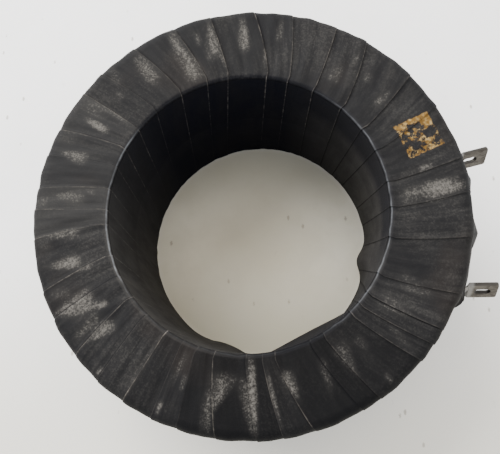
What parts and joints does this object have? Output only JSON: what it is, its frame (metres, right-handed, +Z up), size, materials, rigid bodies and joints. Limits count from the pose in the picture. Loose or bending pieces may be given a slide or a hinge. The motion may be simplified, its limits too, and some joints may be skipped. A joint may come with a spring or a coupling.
{
  "type": "current transformer",
  "caption": "Tape-wound ring current transformer with a large round window and two slotted strip terminals on its side.",
  "frame": {"origin": "on the ring's axis, in the plane of the flat underside that it rests on", "axes": "+Z up the axis of the window, +X from the axis towards the middle of the terminal side"},
  "size_m": [0.2482, 0.23, 0.116],
  "materials": {
    "tape": "black lapped insulating tape, satin, dusty",
    "terminals": "dull tinned strip",
    "solder": "soft solder",
    "copper": "enamelled copper wire",
    "cotton": "cotton tape",
    "sleeve": "varnished woven sleeve",
    "board": "pressboard",
    "core": "wound silicon steel strip"
  },
  "bodies": {
    "root": {"strip_core": "core", "core_ring_top": "board", "core_ring_bottom": "board", "core_band_inner": "board", "core_band_outer": "board", "core_wrap": "cotton", "secondary_winding": "copper", "winding_wrap": "cotton", "lead_sleeve_s1": "sleeve", "lead_sleeve_s2": "sleeve", "terminal_pad_s1": "board", "terminal_pad_s2": "board", "terminal_s1": "terminals", "terminal_s2": "terminals", "solder_s1": "solder", "solder_s2": "solder", "terminal_cover": "cotton", "outer_tape": "tape"}
  },
  "joints": []
}
